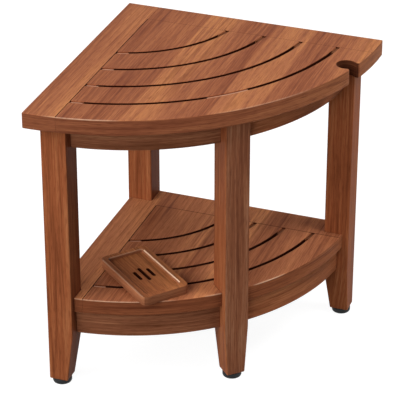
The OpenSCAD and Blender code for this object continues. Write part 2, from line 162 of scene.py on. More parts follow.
def finish_timber(piece, ease, grain, place, materials, body="bench", node=None, part=None, wear=None):
    """Eases a piece's edges, lays its grain as a UV map in metres, puts it in its place and finishes it.

    Ease gives an edge's rounding from its middle, and grain a point's place in the figure of the wood.
    Part gives a face's finish, as its number in materials, and wear how pale an eased edge is painted, as a
    painted highlight.
    """
    # The slot after the last finish marks the eased edges until their painted highlight is laid
    marker = len(materials)
    piece.data.materials.clear()
    for material in [*materials, materials[-1]]:
        piece.data.materials.append(material)
    ease_edges(piece, ease, marker)

    bm = bmesh.new()
    bm.from_mesh(piece.data)
    laid = bm.loops.layers.uv.new("grain")
    painted_highlight = bm.loops.layers.float.new("painted_highlight")
    for face in bm.faces:
        middle = face.calc_center_median()
        highlit = wear is not None and face.material_index == marker and wear(middle) > 0
        face.material_index = part(face.normal, middle) if part else 0
        face.smooth = True
        for loop in face.loops:
            loop[laid].uv = grain(face.normal, loop.vert.co)
            loop[painted_highlight] = wear(loop.vert.co) if highlit else 0.0
    bmesh.ops.transform(bm, matrix=place, verts=bm.verts[:])
    if place.determinant() < 0:
        bmesh.ops.reverse_faces(bm, faces=bm.faces[:])
    bm.to_mesh(piece.data)
    bm.free()
    piece.data.materials.pop()
    piece.data.set_sharp_from_angle(angle=math.radians(40))
    shading = piece.modifiers.new("even shading", "WEIGHTED_NORMAL")
    shading.keep_sharp = True
    apply_modifiers(piece)
    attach(piece, body)
    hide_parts(node or piece.name.removesuffix("_wood"))


def from_corner(point):
    """How far a point of a panel is from the wall corner."""
    return math.hypot(point.x, point.y)


def lies_flat(normal):
    """Whether a face looks up or down."""
    return abs(normal.z) > 0.7


def panel_grain(*arcs):
    """Grain along Y on a panel's faces and along each edge on its edges, also where they follow an arc."""
    def lie(normal, point):
        if lies_flat(normal):
            return point.x, point.y
        reach = from_corner(point)
        if min(abs(reach - arc) for arc in arcs) < largest_easing:
            return point.z, reach * math.atan2(point.y, point.x)
        return point.z, point.x + point.y
    return lie


def panel_easing(panel_r, board_arris, right_seam_arris, wall_arris):
    """How widely a panel's arrises are rounded. At the left seam the board's stands out, and those of the
    slats hardly. Those at the walls and at the front are rounded well."""
    slat_arris = 0.0002
    front_arris = 0.0013

    def ease(point):
        at_front = from_corner(point) > panel_r - close
        from_left_seam = abs(point.x - left_board_w)
        from_right_seam = abs(point.y + right_board_w)
        if from_left_seam < hair and not at_front:
            return board_arris
        if from_right_seam < close and not at_front:
            return right_seam_arris
        if min(from_left_seam, from_right_seam) < close:
            return slat_arris
        return front_arris if at_front else wall_arris
    return ease


def slotted_part(panel_r, bridged_r=0):
    """The finishes of a slotted panel: 0 on its faces and 1 on its edges, 2, nearly black painted shade, in
    its open slots and beside the slats at the left seam, and 3, fainter painted shade, in the seam along the
    right board."""
    seam_w = 0.0008
    front_round = 0.002
    slot_reach = 0.01
    front_slat_w = 0.04

    def part(normal, point):
        reach = from_corner(point)
        behind_front = reach < panel_r - front_round
        beside_slats = abs(point.x - left_board_w) < seam_w and -point.y > right_board_w + close
        if beside_slats and behind_front:
            return 2
        if abs(point.y + right_board_w) < seam_w and behind_front:
            return 3
        if lies_flat(normal):
            return 0
        if reach > panel_r - close or min(point.x, -point.y) < close:
            return 1
        open_slot = point.x > left_board_w + slot_end_l and -point.y > right_board_w + slot_end_l
        if abs(reach - bridged_r) < slot_reach and abs(point.x + point.y) < bridge_w / math.sqrt(2):
            open_slot = False
        return 2 if open_slot and reach < panel_r - front_slat_w else 1
    return part


def front_highlight(panel_r, top, *stretches):
    """Painted highlight on a panel's upper front arris. A stretch is its middle and half its width, in degrees
    round from the right wall, and its strength in the middle."""
    arris = 0.003

    def wear(point):
        if from_corner(point) < panel_r - arris or point.z < top - arris:
            return 0.0
        turn = math.degrees(math.atan2(-point.y, point.x))
        painted_highlight = [most - most * (abs(turn - middle) / half) ** 3 for middle, half, most in stretches]
        return max(0.0, *painted_highlight)
    return wear


def linear(colour):
    """A hex sRGB colour as a linear one."""
    parts = [int(colour[i:i + 2], 16) / 255 for i in (1, 3, 5)]
    return [c / 12.92 if c <= 0.04045 else ((c + 0.055) / 1.055) ** 2.4 for c in parts] + [1]


def new_material(name):
    """A material with no nodes in it yet."""
    material = bpy.data.materials.new(name)
    material.use_nodes = True
    material.node_tree.nodes.clear()
    return material


def add(tree, kind, inputs, **settings):
    """Adds a shader node with its settings. An input takes a value, or a node or socket to link."""
    node = tree.nodes.new("ShaderNode" + kind)
    for name, value in settings.items():
        setattr(node, name, value)
    for name, value in inputs.items():
        if isinstance(value, bpy.types.Node):
            value = value.outputs[0]
        if isinstance(value, bpy.types.NodeSocket):
            tree.links.new(value, node.inputs[name])
        else:
            node.inputs[name].default_value = value
    return node


def set_stops(node, stops):
    """Sets a colour ramp's stops, each a position with a grey value or a hex colour."""
    ramp = node.color_ramp
    while len(ramp.elements) > 1:
        ramp.elements.remove(ramp.elements[-1])
    for i, (position, value) in enumerate(stops):
        stop = ramp.elements[0] if i == 0 else ramp.elements.new(position)
        stop.position = position
        stop.color = linear(value) if isinstance(value, str) else [value, value, value, 1]


def teak(name, dark, middle, light, staves=None, bands=0.4, streaks=0.6, side_light=0, along="UV map"):
    """Planed teak, which is banded and streaked along the grain, and satin with its oil.

    Staves gives the tone across a glued-up panel, as distances in metres and tones. Bands and streaks
    are how strong those are. Side light is how much lighter a face is painted where it looks along X,
    as painted light from the side. The grain runs along the UV map's V, or along an axis.
    """
    material = new_material(name)
    tree = material.node_tree
    if along == "UV map":
        grain = add(tree, "UVMap", {}, uv_map="grain").outputs["UV"]
    else:
        grain = add(tree, "TexCoord", {}).outputs["Object"]

    def drawn_out(width_mm, length_mm, detail, depth):
        """A pattern drawn out along the grain, with its real size. Depth sets it apart from the others."""
        wide, long = 1000 / width_mm, 1000 / length_mm
        scale = (long, wide, wide) if along == "X" else (wide, long, wide)
        lie = add(tree, "Mapping", {"Vector": grain, "Location": (0, 0, depth), "Scale": scale})
        return add(tree, "TexNoise", {"Vector": lie, "Scale": 1, "Detail": detail, "Roughness": 0.6})

    # Bands are the growth seasons, streaks the lines within them, and fibres the fine ticks
    band = drawn_out(26, 420, 2, 1.3)
    streak = drawn_out(4.5, 170, 3, 4.1)
    fibre = drawn_out(1.2, 55, 2, 7.7)
    fibres = 0.4
    tone = 0.5
    if staves:
        width = staves[-1][0]
        across = add(tree, "SeparateXYZ", {"Vector": grain}).outputs["X"]
        share = add(tree, "Math", {0: across, 1: width}, operation="DIVIDE")
        tone = add(tree, "ValToRGB", {"Fac": share})
        set_stops(tone, [(distance / width, tone_there) for distance, tone_there in staves])
    tone = add(tree, "Math", {0: band, 1: bands, 2: tone}, operation="MULTIPLY_ADD")
    tone = add(tree, "Math", {0: streak, 1: streaks, 2: tone}, operation="MULTIPLY_ADD")
    tone = add(tree, "Math", {0: fibre, 1: fibres, 2: tone}, operation="MULTIPLY_ADD")
    tone = add(tree, "Math", {0: tone, 1: (bands + streaks + fibres) / 2}, operation="SUBTRACT")
    # Faces that look along X are painted lighter, as painted light from the side
    if side_light:
        normal = add(tree, "TexCoord", {}).outputs["Normal"]
        turned = add(tree, "SeparateXYZ", {"Vector": normal}).outputs["X"]
        turned = add(tree, "Math", {0: turned, 1: 4}, operation="POWER")
        tone = add(tree, "Math", {0: turned, 1: side_light, 2: tone}, operation="MULTIPLY_ADD")
    colour = add(tree, "ValToRGB", {"Fac": tone})
    set_stops(colour, [(0.2, dark), (0.5, middle), (0.8, light)])

    # Veins are thin dark growth lines, where a slow pattern passes its middle, and they come and go
    line = add(tree, "Math", {0: drawn_out(17, 700, 1, 2.2), 1: 0.5}, operation="SUBTRACT")
    line = add(tree, "Math", {0: line}, operation="ABSOLUTE")
    line = add(tree, "MapRange", {"Value": line, "From Max": 0.03, "To Min": 0.5, "To Max": 0})
    comes = add(tree, "MapRange", {"Value": drawn_out(40, 90, 1, 5.5), "From Min": 0.4, "From Max": 0.6})
    line = add(tree, "Math", {0: line, 1: comes}, operation="MULTIPLY")
    colour = add(tree, "MixRGB", {"Fac": line, "Color1": colour, "Color2": linear(dark)})

    # Pores are short dark lines, a little sunk
    pore = add(tree, "MapRange", {"Value": drawn_out(0.7, 17, 1, 9.2), "From Min": 0.54, "From Max": 0.7})
    shade = add(tree, "Math", {0: pore, 1: 0.55}, operation="MULTIPLY")
    colour = add(tree, "MixRGB", {"Fac": shade, "Color1": colour, "Color2": linear(dark)})

    # The eased arrises are painted paler in places, as a painted highlight
    if along == "UV map":
        arris = add(tree, "Attribute", {}, attribute_name="painted_highlight").outputs["Fac"]
        patches = add(tree, "MapRange", {"Value": streak, "From Min": 0.3, "From Max": 0.5, "To Min": 0.5})
        highlit = add(tree, "Math", {0: arris, 1: patches}, operation="MULTIPLY")
        colour = add(tree, "MixRGB", {"Fac": highlit, "Color1": colour, "Color2": linear("#f6d2b2")})

    # The grain stands up a little. The oil has sunk in, so there is hardly any gloss on top
    height = add(tree, "Math", {0: fibre, 1: 0.5, 2: streak}, operation="MULTIPLY_ADD")
    height = add(tree, "Math", {0: height, 1: pore}, operation="SUBTRACT")
    relief = add(tree, "Bump", {"Height": height, "Strength": 0.4, "Distance": 0.0002})
    rough = add(tree, "MapRange", {"Value": streak, "From Min": 0.3, "From Max": 0.7,
                                   "To Min": 0.46, "To Max": 0.62})
    shader = add(tree, "BsdfPrincipled", {"Base Color": colour, "Roughness": rough,
                                          "Normal": relief, "Specular IOR Level": 0.04})
    add(tree, "OutputMaterial", {"Surface": shader})
    return material


# The left board is one plank. The rest is glued up from staves whose grain runs unbroken over the
# slats and the right board
seat_staves = [(0, 0.46), (0.013, 0.43), (0.02, 0.52), (0.048, 0.57), (0.05, 0.41), (0.084, 0.46),
               (0.088, 0.41), (0.134, 0.43), (0.136, 0.68), (0.155, 0.6), (0.182, 0.53), (0.186, 0.5),
               (0.205, 0.38), (0.238, 0.35), (0.242, 0.52), (0.258, 0.58), (0.298, 0.55), (0.302, 0.38),
               (0.354, 0.41), (0.37, 0.54), (0.4, 0.66)]
seat_teak = teak("oiled_teak_seat_face", "#6e3725", "#a56645", "#cf8b57", staves=seat_staves)
# The edge is painted lighter where it looks along X, as painted light from the side
seat_edge_teak = teak("oiled_teak_seat_edge", "#57291b", "#8c5136", "#b2724c", side_light=0.24)
# The sides of the slots and beside the slats at the left seam are painted nearly black, as painted shade
slot_shade_teak = teak("teak_slot_painted_shade", "#1c0a05", "#34140a", "#4a2212")
# The seam along the right board and the notch's walls are painted darker, as fainter painted shade
half_shade_teak = teak("teak_painted_half_shade", "#2b130b", "#522a19", "#74432b")
seat_materials = [seat_teak, seat_edge_teak, slot_shade_teak, half_shade_teak]
seat_easing = panel_easing(seat_r, board_arris=0.0009, right_seam_arris=0.0002, wall_arris=0.0013)
seat_part = slotted_part(seat_r, bridged_r=seat_arcs[-2])
# The front arris gets a painted highlight near the left leg, and a fainter one just right of the front one
seat_wear = front_highlight(seat_r, seat_top, (78, 8, 0.34), (40, 12, 0.16))


def finish_seat(piece, *arcs, part=seat_part):
    """Finishes a piece of the seat. The arcs are those that its edges follow."""
    finish_timber(piece, seat_easing, panel_grain(*arcs), at_wall_corner, seat_materials,
                  part=part, wear=seat_wear)


left_of_wall = (Vector(), -to_right)
behind_wall = (Vector(), to_back)
past_left_board = (Vector((left_board_w, 0, 0)), to_right)


def left_board(panel_r, bottom, top):
    """A left border board. A line across it, at the right board's front, lets the seam's painted shade end
    there.
    """
    bm = round_panel(0, panel_r, bottom, top, [left_of_wall, behind_wall, past_left_board])
    saw(bm, (0, -right_board_w, 0), to_back, drop=False)
    return bm


board = make_object("seat_left_board_wood", left_board(seat_r, seat_bottom, seat_top))
finish_seat(board, seat_r)


# ---- Right border board of the seat ----
# A board of the same thickness along the right wall edge, butted against the left one. Its grain
# runs across it, in line with that of the slats.

seam_gap = 0.0001
seam_at_left_board = (Vector((left_board_w + seam_gap, 0, 0)), -to_right)
before_right_board = (Vector((0, -right_board_w, 0)), -to_back)
right_board_cuts = [behind_wall, before_right_board, seam_at_left_board]
board = round_panel(0, seat_r, seat_bottom, seat_top, right_board_cuts)
board = make_object("seat_right_board_wood", board)
finish_seat(board, seat_r)


# ---- Curved slats of the seat ----
# Five pieces, sawn from one glued-up panel along arcs about the wall corner, 5.5 mm apart. The
# front one has a keyhole notch for a shower hose beside the right leg.

slot_w = 0.0055
seam_at_right_board = (Vector((0, -right_board_w - seam_gap, 0)), to_back)
notch_r = 0.0145
notch_mouth_w = 0.024
notch_corner_r = 0.004
# The middle of the notch's hole, from the front arc and from the right wall edge
notch_from_front = 0.014
notch_from_wall = 0.098
notch_middle_r = seat_r - notch_from_front
notch_turn = -math.asin(notch_from_wall / notch_middle_r)
notch_middle = Matrix.Rotation(notch_turn, 2) @ Vector((notch_middle_r, 0))
# A cutter reaches this far past what it cuts
overshoot = 0.01


def carve(piece, cutter):
    """Cuts the cutter's shape out of the piece, and does away with the cutter."""
    cut = piece.modifiers.new("carve", "BOOLEAN")
    cut.operation = "DIFFERENCE"
    cut.solver = "EXACT"
    cut.use_self = True
    cut.object = cutter
    apply_modifiers(piece)
    bpy.data.objects.remove(cutter)


def straight_block(low, high):
    """A plain block between two corners, before its edges are eased."""
    bm = bmesh.new()
    bmesh.ops.create_cube(bm, size=1)
    size = Vector(high) - Vector(low)
    bmesh.ops.scale(bm, vec=size, verts=bm.verts[:])
    bmesh.ops.translate(bm, vec=Vector(low) + size / 2, verts=bm.verts[:])
    return bm


def round_post(at, radius, bottom, top, steps=48):
    """The shape of a drilled hole."""
    bm = bmesh.new()
    bmesh.ops.create_cone(bm, cap_ends=True, segments=steps, radius1=radius, radius2=radius,
                          depth=top - bottom)
    bmesh.ops.translate(bm, vec=(at[0], at[1], (top + bottom) / 2), verts=bm.verts[:])
    return bm


def cut_notch(slat):
    """Drills the notch's round hole, saws its mouth, and rounds the mouth's two corners."""
    bottom, top = seat_bottom - overshoot, seat_top + overshoot
    hole = round_post((notch_middle_r, 0), notch_r, bottom, top)
    mouth = straight_block((notch_middle_r, -notch_mouth_w / 2, bottom),
                           (seat_r + 2 * overshoot, notch_mouth_w / 2, top))
    turned = Matrix.Rotation(notch_turn, 4, "Z")
    for bm in (hole, mouth):
        bmesh.ops.transform(bm, matrix=turned, verts=bm.verts[:])
    carve(slat, make_object("notch_cutter", hole, mouth))

    mouth_middle = turned.to_2x2() @ Vector((seat_r, 0))
    sharp = math.radians(70)
    bm = bmesh.new()
    bm.from_mesh(slat.data)
    corners = [edge for edge in bm.edges
               if abs(edge.verts[0].co.z - edge.verts[1].co.z) > close
               and edge.calc_face_angle() > sharp
               and (edge.verts[0].co.xy - mouth_middle).length < notch_mouth_w]
    bmesh.ops.bevel(bm, geom=corners, offset=notch_corner_r, segments=6, profile=0.5, affect="EDGES",
                    material=-1)
    bm.to_mesh(slat.data)
    bm.free()


def notched_part(normal, point):
    """The finishes of the front slat. The walls of its notch are painted darker, as painted shade."""
    in_notch = (point.xy - notch_middle).length < 2 * notch_r and from_corner(point) < seat_r - close
    return 3 if in_notch and not lies_flat(normal) else seat_part(normal, point)


inner_r = 0
for number, outer_r in enumerate(seat_arcs, 1):
    slat = round_panel(inner_r, outer_r, seat_bottom, seat_top, [seam_at_left_board, seam_at_right_board])
    slat = make_object(f"seat_slat_{number}_wood", slat)
    if outer_r == seat_r:
        cut_notch(slat)
        finish_seat(slat, inner_r, outer_r, part=notched_part)
    else:
        finish_seat(slat, inner_r, outer_r)
    inner_r = outer_r + slot_w


# ---- Closed ends of the seat's slots ----
# Short fillets of paler, unoiled wood between the slats, beside the border boards and over the
# front leg. They lie about 2 mm below the surface.

fillet_drop = 0.0022
fillet_gap = 0.00015
fillet_arris = 0.0002
along_diagonal = Vector((1, -1, 0)).normalized()
across_diagonal = Vector((1, 1, 0)).normalized()

unoiled_teak = teak("unoiled_teak", "#9a6448", "#cf9c80", "#e8c2a8")
# The ones at the right ends are a darker copy, as painted shade
shaded_fillet_teak = teak("shaded_fillet_teak", "#552c1a", "#73452d", "#83563d")


def even_easing(arris):
    """The same rounding on all edges of a piece."""
    return lambda point: arris


def slot_fillet(slot_inner_r, bottom, top, cuts):
    """What fills a slot between two saw lines, with a little clearance at its sides."""
    inner = slot_inner_r + fillet_gap
    outer = slot_inner_r + slot_w - fillet_gap
    return round_panel(inner, outer, bottom, top - fillet_drop, cuts)


def arc_grain(start):
    """Grain round the corner of the arcs. Each piece starts at another place in the pattern."""
    def lie(normal, point):
        reach = from_corner(point)
        return (reach if lies_flat(normal) else point.z) + start, reach * math.atan2(point.y, point.x)
    return lie


past_left_end = (Vector((left_board_w + slot_end_l, 0, 0)), to_right)
past_right_end = (Vector((0, -right_board_w - slot_end_l, 0)), -to_back)
left_end = [seam_at_left_board, seam_at_right_board, past_left_end]
right_end = [seam_at_left_board, seam_at_right_board, past_right_end]
bridge = [(across_diagonal * bridge_w / 2, across_diagonal),
          (-across_diagonal * bridge_w / 2, -across_diagonal),
          (Vector(), -along_diagonal)]
left_fillets = [slot_fillet(r, seat_bottom, seat_top, left_end) for r in seat_arcs[:-1]]
left_fillets.append(slot_fillet(seat_arcs[-2], seat_bottom, seat_top, bridge))
right_fillets = [slot_fillet(r, seat_bottom, seat_top, right_end) for r in seat_arcs[:-1]]
for side, fillets, finish in (("left", left_fillets, unoiled_teak),
                              ("right", right_fillets, shaded_fillet_teak)):
    piece = make_object(f"seat_slot_ends_{side}", *fillets)
    finish_timber(piece, even_easing(fillet_arris), arc_grain(0), at_wall_corner, [finish],
                  node="seat_slot_ends")


# ---- Aprons and rails ----
# 20 mm thick teak under the seat and the shelf: a curved apron between each side leg and the front
# leg, sawn to the arc, and a straight rail along each wall. Dowels hold them to the legs.

shelf_corner = Vector((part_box("shelf_left_board")[0].x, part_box("shelf_right_board")[1].y, 0))
at_shelf_corner = Matrix.Translation(shelf_corner)
# The frame is the same on both sides of the diagonal through the wall corner
mirrored = Matrix(((0, -1, 0, 0), (-1, 0, 0, 0), (0, 0, 1, 0), (0, 0, 0, 1)))
near_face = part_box("back_leg")[1].x - shelf_corner.x
leg_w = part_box("back_leg")[1].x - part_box("back_leg")[0].x
rail_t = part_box("upper_rail_left")[1].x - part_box("upper_rail_left")[0].x
apron_r = math.hypot(near_face, shelf_corner.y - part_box("upper_apron_left")[0].y)
at_side_leg = (Vector((near_face, 0, 0)), -to_right)
at_front_leg = (-across_diagonal * leg_w / 2, across_diagonal)
apron_cuts = [behind_wall, at_side_leg, at_front_leg]
# Two screws go up through each apron, with their heads in counterbores from below. Their places are
# in degrees round from the right wall, and as a distance from the outer arc
apron_screw_inset = 0.007
apron_screw_turns = (-72, -57)
counterbore_r = 0.0041
wood_over_counterbore = 0.02
frame_arris = 0.001

frame_teak = teak("oiled_teak_frame", "#562d17", "#8f583d", "#bc815c", bands=0.5)
# The aprons right of the front leg get a paler copy of the frame's finish, as painted light
lit_frame_teak = teak("oiled_teak_frame_painted_light", "#633218", "#a3613f", "#d68e5f", bands=0.5)

# Twelve pieces of the frame, each from another part of a plank
grain_starts = iter(range(12))
for level in ("upper", "lower"):
    low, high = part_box(f"{level}_apron_left")
    for side, placed, finish in (("left", at_shelf_corner, frame_teak),
                                 ("right", at_shelf_corner @ mirrored, lit_frame_teak)):
        apron = round_panel(apron_r - rail_t, apron_r, low.z, high.z, apron_cuts)
        apron = make_object(f"{level}_apron_{side}_wood", apron)
        bores = []
        for turn in apron_screw_turns:
            at = Matrix.Rotation(math.radians(turn), 2) @ Vector((apron_r - apron_screw_inset, 0))
            bottom, top = low.z - overshoot, high.z - wood_over_counterbore
            bores.append(round_post(at, counterbore_r, bottom, top, steps=24))
        carve(apron, make_object("counterbore_cutter", *bores))
        grain = arc_grain(next(grain_starts))
        finish_timber(apron, even_easing(frame_arris), grain, placed, [finish])


def long_grain(start):
    """Grain along a straight rail beside a wall, which is long in X or in Y."""
    def lie(normal, point):
        if not lies_flat(normal):
            return point.z + start, point.x + point.y
        beside_left_wall = point.x < shelf_corner.x + rail_t * 2
        return (point.x + start, point.y) if beside_left_wall else (point.y + start, point.x)
    return lie


for level in ("upper", "lower"):
    for side in ("left", "right"):
        rail = straight_block(*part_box(f"{level}_rail_{side}"))
        rail = make_object(f"{level}_rail_{side}_wood", rail)
        grain = long_grain(next(grain_starts))
        finish_timber(rail, even_easing(frame_arris), grain, Matrix(), [frame_teak])


# ---- Legs ----
# Four square teak posts that carry the seat. Below the lower rails they taper to the foot: the wall
# legs on their two inner faces, and the front leg, which stands on the diagonal, on three.

leg_foot_w = 0.0286
leg_arris = 0.0018
taper_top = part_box("lower_apron_left")[0].z
leg_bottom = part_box("front_leg")[0].z
# The front leg's outer face, as its distance from the wall corner along the diagonal
front_face = (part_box("front_leg")[1].x - cad_low.x) * math.sqrt(2) - leg_w / 2
on_diagonal = at_wall_corner @ Matrix.Rotation(math.radians(-45), 4, "Z")

leg_teak = teak("oiled_teak_leg", "#68341e", "#a35c38", "#c68457")
# The faces of the back and left legs that look into the bench are painted darker, as painted shade
shaded_leg_teak = teak("oiled_teak_leg_painted_shade", "#4a2212", "#773f25", "#915c3b")
# The outer face of the front leg is painted darker and greyer, as painted shade, with dense streaks
shaded_front_leg_teak = teak("oiled_teak_heartwood", "#5e3323", "#935b3f", "#b38262", streaks=0.8)


def square_leg(low, high, upright):
    """A leg between two corners. Upright is the point that the taper draws its foot towards."""
    bm = straight_block(low, high)
    saw(bm, (0, 0, taper_top), (0, 0, 1), drop=False)
    foot = [v for v in bm.verts if v.co.z < taper_top - close]
    share = leg_foot_w / leg_w
    bmesh.ops.scale(bm, vec=(share, share, 1), space=Matrix.Translation(-Vector(upright)), verts=foot)
    return bm


def post_grain(start):
    """Grain up a post. Each post starts at another place in the pattern."""
    def lie(normal, point):
        if lies_flat(normal):
            return point.x + start, point.y
        return point.x + point.y + start, point.z
    return lie


def right_face(normal, point):
    """A leg's face towards its own +X has the second finish."""
    return 1 if normal.x > 0.9 else 0


def finish_leg(leg, place, materials):
    """Finishes a leg with one material, and its right face with another."""
    finish_timber(leg, even_easing(leg_arris), post_grain(next(grain_starts)), place, materials,
                  part=right_face)


for name, upright_x, upright_y in (("back_leg", 0, 1), ("left_leg", 0, 0), ("right_leg", 1, 1)):
    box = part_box(name)
    leg = square_leg(*box, (box[upright_x].x, box[upright_y].y, 0))
    leg = make_object(name + "_wood", leg)
    finish_leg(leg, Matrix(), [leg_teak, leg_teak if name == "right_leg" else shaded_leg_teak])

leg = square_leg((front_face - leg_w, -leg_w / 2, leg_bottom), (front_face, leg_w / 2, seat_bottom),
                 (front_face, 0, 0))
leg = make_object("front_leg_wood", leg)
finish_leg(leg, on_diagonal, [leg_teak, shaded_front_leg_teak])


# ---- Shelf ----
# A smaller quarter round made as the seat is: two border boards, five slats and the slots' closed
# ends, 23 mm thick. It is notched round the legs and rests on the lower aprons and rails.

shelf_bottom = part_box("shelf_left_board")[0].z
shelf_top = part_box("shelf_left_board")[1].z
shelf_r = shelf_corner.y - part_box("shelf_left_board")[0].y
shelf_arcs = [math.hypot(left_board_w, shelf_corner.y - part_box(f"shelf_slat_{n}")[0].y) for n in range(1, 5)]
shelf_arcs.append(shelf_r)
leg_gap = 0.0003

shelf_staves = [(0, 0.52), (0.016, 0.56), (0.048, 0.64), (0.05, 0.42), (0.098, 0.45), (0.105, 0.47),
                (0.112, 0.45), (0.128, 0.48), (0.135, 0.6), (0.155, 0.68), (0.158, 0.38), (0.168, 0.42),
                (0.175, 0.5), (0.19, 0.58), (0.215, 0.66), (0.222, 0.56), (0.228, 0.42), (0.256, 0.4),
                (0.27, 0.44), (0.3, 0.52), (0.31, 0.44), (0.36, 0.4)]
shelf_teak = teak("oiled_teak_shelf_face", "#6f3a25", "#ad6b48", "#d38b5b", staves=shelf_staves)
# The edge is painted lighter where it looks along X, as painted light from the side
shelf_edge_teak = teak("oiled_teak_shelf_edge", "#562a19", "#884d31", "#aa6743", side_light=0.3)
shelf_materials = [shelf_teak, shelf_edge_teak, slot_shade_teak, half_shade_teak]
shelf_easing = panel_easing(shelf_r, board_arris=0.001, right_seam_arris=0.0005, wall_arris=0.0008)
# The front arris gets a painted highlight near the left leg, and on both sides of the front one
shelf_wear = front_highlight(shelf_r, shelf_top, (73, 14, 0.34), (50, 3, 0.3), (35, 5, 0.5))


def finish_shelf(piece, *arcs):
    """Finishes a piece of the shelf. The arcs are those that its edges follow."""
    finish_timber(piece, shelf_easing, panel_grain(*arcs), at_shelf_corner, shelf_materials,
                  part=slotted_part(shelf_r), wear=shelf_wear)


def notch_round_legs(piece):
    """Cuts the legs' places out of a shelf piece, with a little clearance."""
    posts = []
    around = Vector((leg_gap, leg_gap, 0))
    for name in ("back_leg", "left_leg", "right_leg"):
        low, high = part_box(name)
        posts.append(straight_block(low - around - shelf_corner, high + around - shelf_corner))
    front = straight_block((front_face - leg_w - leg_gap, -leg_w / 2 - leg_gap, leg_bottom),
                           (front_face + leg_gap, leg_w / 2 + leg_gap, seat_bottom))
    bmesh.ops.transform(front, matrix=at_shelf_corner.inverted() @ on_diagonal, verts=front.verts[:])
    carve(piece, make_object("leg_cutter", *posts, front))


board = make_object("shelf_left_board_wood", left_board(shelf_r, shelf_bottom, shelf_top))
notch_round_legs(board)
finish_shelf(board, shelf_r)

board = round_panel(0, shelf_r, shelf_bottom, shelf_top, right_board_cuts)
board = make_object("shelf_right_board_wood", board)
notch_round_legs(board)
finish_shelf(board, shelf_r)

inner_r = 0
for number, outer_r in enumerate(shelf_arcs, 1):
    slat = round_panel(inner_r, outer_r, shelf_bottom, shelf_top, [seam_at_left_board, seam_at_right_board])
    slat = make_object(f"shelf_slat_{number}_wood", slat)
    if outer_r == shelf_r:
        notch_round_legs(slat)
    finish_shelf(slat, inner_r, outer_r)
    inner_r = outer_r + slot_w

for side, end, finish in (("left", left_end, unoiled_teak), ("right", right_end, shaded_fillet_teak)):
    fillets = [slot_fillet(r, shelf_bottom, shelf_top, end) for r in shelf_arcs[:-1]]
    piece = make_object(f"shelf_slot_ends_{side}", *fillets)
    finish_timber(piece, even_easing(fillet_arris), arc_grain(0), at_shelf_corner, [finish],
                  node="shelf_slot_ends")


# ---- Soap dish ----
# A loose dish milled from one block of teak, with a rim, a flat hollow and three drain slots. It
# lies at an angle on the front of the shelf.

dish_l = 0.134
dish_w = 0.076
dish_corner_r = 0.009
dish_rim = 0.0095
dish_turn = math.radians(-39.6)
dish_low, dish_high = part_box("soap_dish")
dish_h = dish_high.z - dish_low.z
dish_floor = dish_h - 0.0055
dish_middle = (dish_low + dish_high) / 2
on_shelf = Matrix.Translation((dish_middle.x, dish_middle.y, dish_low.z))
at_dish = on_shelf @ Matrix.Rotation(dish_turn, 4, "Z")
hollow_l = dish_l - 2 * dish_rim
hollow_w = dish_w - 2 * dish_rim
hollow_corner_r = 0.004
drain_w = 0.005
# An arris of the dish, with its rounding, is this wide
dish_arris = 0.002
# Each drain slot's distance from the middle one, and its length
drain_slots = ((0, 0.0377), (0.011, 0.0245), (-0.011, 0.0245))

# The block is painted darker along its near side, as painted shade
dish_shade_staves = [(0, 0.44), (0.02, 0.44), (0.034, 0.56), (0.05, 0.66), (dish_w, 0.66)]
dish_teak = teak("oiled_teak_dish", "#5b331e", "#965836", "#c37d4c", staves=dish_shade_staves, bands=0.5,
                 streaks=0.4)
# The long sides are a paler copy of the block's finish, as painted light
lit_dish_side_teak = teak("oiled_teak_dish_side_painted_light", "#7a472e", "#b0704d", "#d49369", bands=0.5)
# End grain drinks more oil, so the two ends are darker
dish_end_teak = teak("oiled_teak_dish_end", "#613521", "#8c563a", "#aa714f", bands=0.5)
dish_materials = [dish_teak, lit_dish_side_teak, dish_end_teak, slot_shade_teak]


def rounded_slab(length, width, corner_r, bottom, top):
    """A slab with rounded corners, with its middle at the origin."""
    bm = straight_block((-length / 2, -width / 2, bottom), (length / 2, width / 2, top))
    corners = [edge for edge in bm.edges if abs(edge.verts[0].co.z - edge.verts[1].co.z) > hair]
    bmesh.ops.bevel(bm, geom=corners, offset=corner_r, segments=8, profile=0.5, affect="EDGES",
                    material=-1)
    return bm


def dish_easing(point):
    """The arrises of the rim are rounded well, and those of the floor and the drain slots less."""
    rim_arris = 0.0014
    fine_arris = 0.0004
    at_outside = abs(point.x) > dish_l / 2 - dish_rim / 2 or abs(point.y) > dish_w / 2 - dish_rim / 2
    at_floor = abs(point.z - dish_floor) <= hair
    at_rim = point.z > dish_h - close or at_outside
    return rim_arris if at_rim and not at_floor else fine_arris


def dish_wear(point):
    """The hollow's far long arris gets a strong painted highlight, and its left one and part of the near outer
    one a faint one.
    """
    top_depth = 0.003
    near_from_x = -0.01
    if point.z < dish_h - top_depth:
        return 0.0
    near_outer = abs(point.y + dish_w / 2) < dish_arris and point.x > near_from_x
    left_inner = abs(point.x + hollow_l / 2) < dish_arris
    far_inner = abs(point.y - hollow_w / 2) < dish_arris
    if far_inner and abs(point.x) < hollow_l / 2 - hollow_corner_r + hair:
        return 1.0
    return 0.2 if near_outer or left_inner else 0.0


def dish_part(normal, point):
    """Finish 0 is for the flat faces, 1 for the long sides, which are painted lighter as painted light, and 2
    for the ends.
    The drain slots and the hollow's near arris are painted nearly black as painted shade, which is 3."""
    in_middle = abs(point.x) < hollow_l / 3 and abs(point.y) < hollow_w / 3
    in_drain = in_middle and not lies_flat(normal)
    near_inner = abs(point.y + hollow_w / 2) < dish_arris and normal.y > 0.1
    if in_drain or near_inner:
        return 3
    if lies_flat(normal):
        return 0
    return 2 if abs(normal.x) > 0.7 else 1


def dish_grain(normal, point):
    """Grain along the block. Across it, the staves start at the near side."""
    if lies_flat(normal):
        return point.y + dish_w / 2, point.x
    return point.z, point.x + point.y


